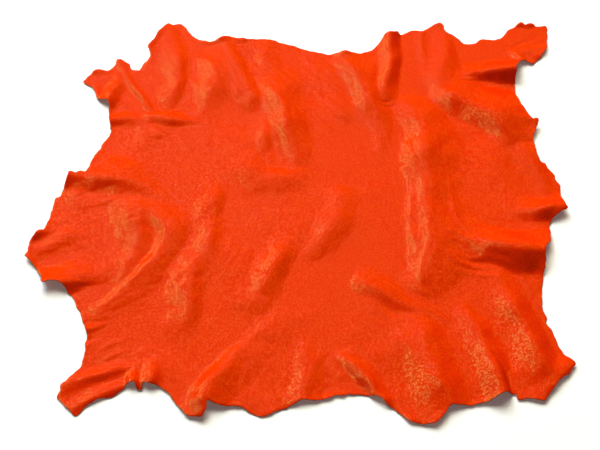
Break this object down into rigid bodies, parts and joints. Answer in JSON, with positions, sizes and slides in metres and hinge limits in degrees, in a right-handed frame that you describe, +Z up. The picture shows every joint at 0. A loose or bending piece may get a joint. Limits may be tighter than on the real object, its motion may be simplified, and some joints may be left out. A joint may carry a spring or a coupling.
{
  "type": "leather hide",
  "caption": "Small whole tanned hide in orange-red leather, lying loose and rumpled on a flat surface, with ragged leg, neck and rump edges.",
  "frame": {"origin": "middle of the bottom of the hide's box, on the surface that it lies on", "axes": "+X from the neck to the rump, +Y towards the far pair of legs, +Z up"},
  "size_m": [0.844, 0.7662, 0.0228],
  "materials": {
    "leather": "semi-gloss smooth grain, orange-red dye"
  },
  "bodies": {
    "root": {"hide": "leather"}
  },
  "joints": []
}
